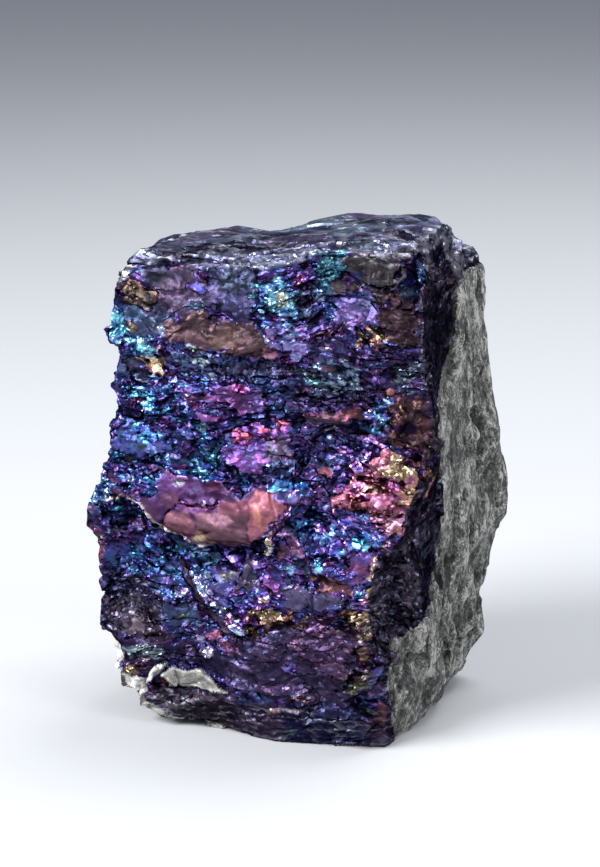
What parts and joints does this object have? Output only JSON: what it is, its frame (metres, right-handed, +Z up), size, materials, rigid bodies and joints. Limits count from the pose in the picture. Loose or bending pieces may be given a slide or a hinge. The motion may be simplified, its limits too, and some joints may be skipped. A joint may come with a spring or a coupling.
{
  "type": "rough chalcopyrite specimen",
  "caption": "Rough tarnished chalcopyrite lump, a broken block of iridescent sulphide on grey host rock that stands on its flat broken foot.",
  "frame": {"origin": "on the plane the lump stands on, under the middle of its bounding box", "axes": "+Z up from the foot, -Y out of the tarnished front face, +X out of the grey rock side"},
  "size_m": [0.0302, 0.0242, 0.0411],
  "materials": {
    "tarnished_ore": "iridescent metallic tarnish, violet, blue, magenta and gold, on broken sulphide, with a rough grey host rock side"
  },
  "bodies": {
    "root": {"chalcopyrite_stone": "tarnished_ore"}
  },
  "joints": []
}
